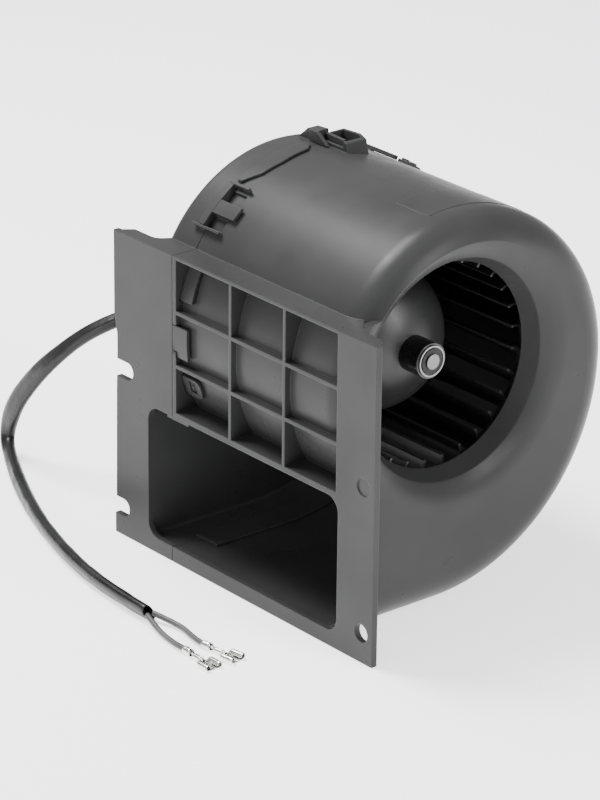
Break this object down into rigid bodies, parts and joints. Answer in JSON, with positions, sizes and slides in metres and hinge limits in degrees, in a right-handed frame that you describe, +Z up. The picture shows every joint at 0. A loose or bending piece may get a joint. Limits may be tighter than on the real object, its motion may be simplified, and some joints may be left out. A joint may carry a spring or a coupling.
{
  "type": "centrifugal heater blower",
  "caption": "Single-inlet centrifugal blower: snapped plastic scroll housing with a flanged rectangular outlet, forward-curved wheel on a DC motor, short two-wire lead.",
  "frame": {"origin": "middle of the housing's base, level with the flange's bottom edge, without the lead", "axes": "+Z up along the flange, -Y out of the outlet, +X along the fan axis towards the inlet"},
  "size_m": [0.2463, 0.1835, 0.1603],
  "materials": {
    "housing_plastic": "satin moulded",
    "wheel_plastic": "satin moulded",
    "bush_plastic": "semi-gloss",
    "spring_steel": "bright",
    "dark_steel": "phosphated",
    "shaft_steel": "ground",
    "zinc_steel": "zinc plated",
    "ferrite": "matt",
    "bronze": "sintered",
    "card_plastic": "laminate",
    "holder_brass": "stamped",
    "carbon": "matt",
    "lamination": "stacked sheet",
    "copper": "enamelled wire",
    "seal_rubber": "matt",
    "sleeve_black": "satin",
    "wire_grey": "satin",
    "tin": "tin plated"
  },
  "bodies": {
    "blower": {"inlet_housing": "housing_plastic", "motor_side_housing": "housing_plastic", "motor_can": "zinc_steel", "motor_end_cap": "zinc_steel", "motor_mount_plate": "zinc_steel", "motor_mount_screws": "zinc_steel", "field_magnet_back": "ferrite", "field_magnet_front": "ferrite", "front_bearing": "bronze", "rear_bearing": "bronze", "brush_card": "card_plastic", "brush_holders": "holder_brass", "brush_spring_top": "spring_steel", "brush_spring_bottom": "spring_steel", "motor_seal": "seal_rubber", "cord_grommet": "seal_rubber", "harness_sleeve": "sleeve_black", "lead_wire_front": "wire_grey", "lead_wire_back": "wire_grey", "terminal_front": "tin", "terminal_back": "tin"},
    "rotor": {"impeller": "wheel_plastic", "hub_bush": "bush_plastic", "hub_clamp_ring": "spring_steel", "shaft_retainer": "dark_steel", "motor_shaft": "shaft_steel", "armature_core": "lamination", "armature_windings": "copper", "commutator": "copper", "thrust_washers": "zinc_steel"},
    "brush_top": {"brush_top": "carbon"},
    "brush_bottom": {"brush_bottom": "carbon"}
  },
  "joints": [
    {"name": "fan_spin", "type": "hinge", "parent": "blower", "child": "rotor", "pos_m": [0, -0.0107, 0.0963], "axis": [1, 0, 0], "continuous": true},
    {"name": "brush_top_slide", "type": "slide", "parent": "blower", "child": "brush_top", "axis": [0, 0, 1], "range_m": [0, 0.0015], "stiffness_N_per_m": 300, "deforming": ["brush_spring_top"]},
    {"name": "brush_bottom_slide", "type": "slide", "parent": "blower", "child": "brush_bottom", "axis": [0, 0, -1], "range_m": [0, 0.0015], "stiffness_N_per_m": 300, "deforming": ["brush_spring_bottom"]}
  ]
}
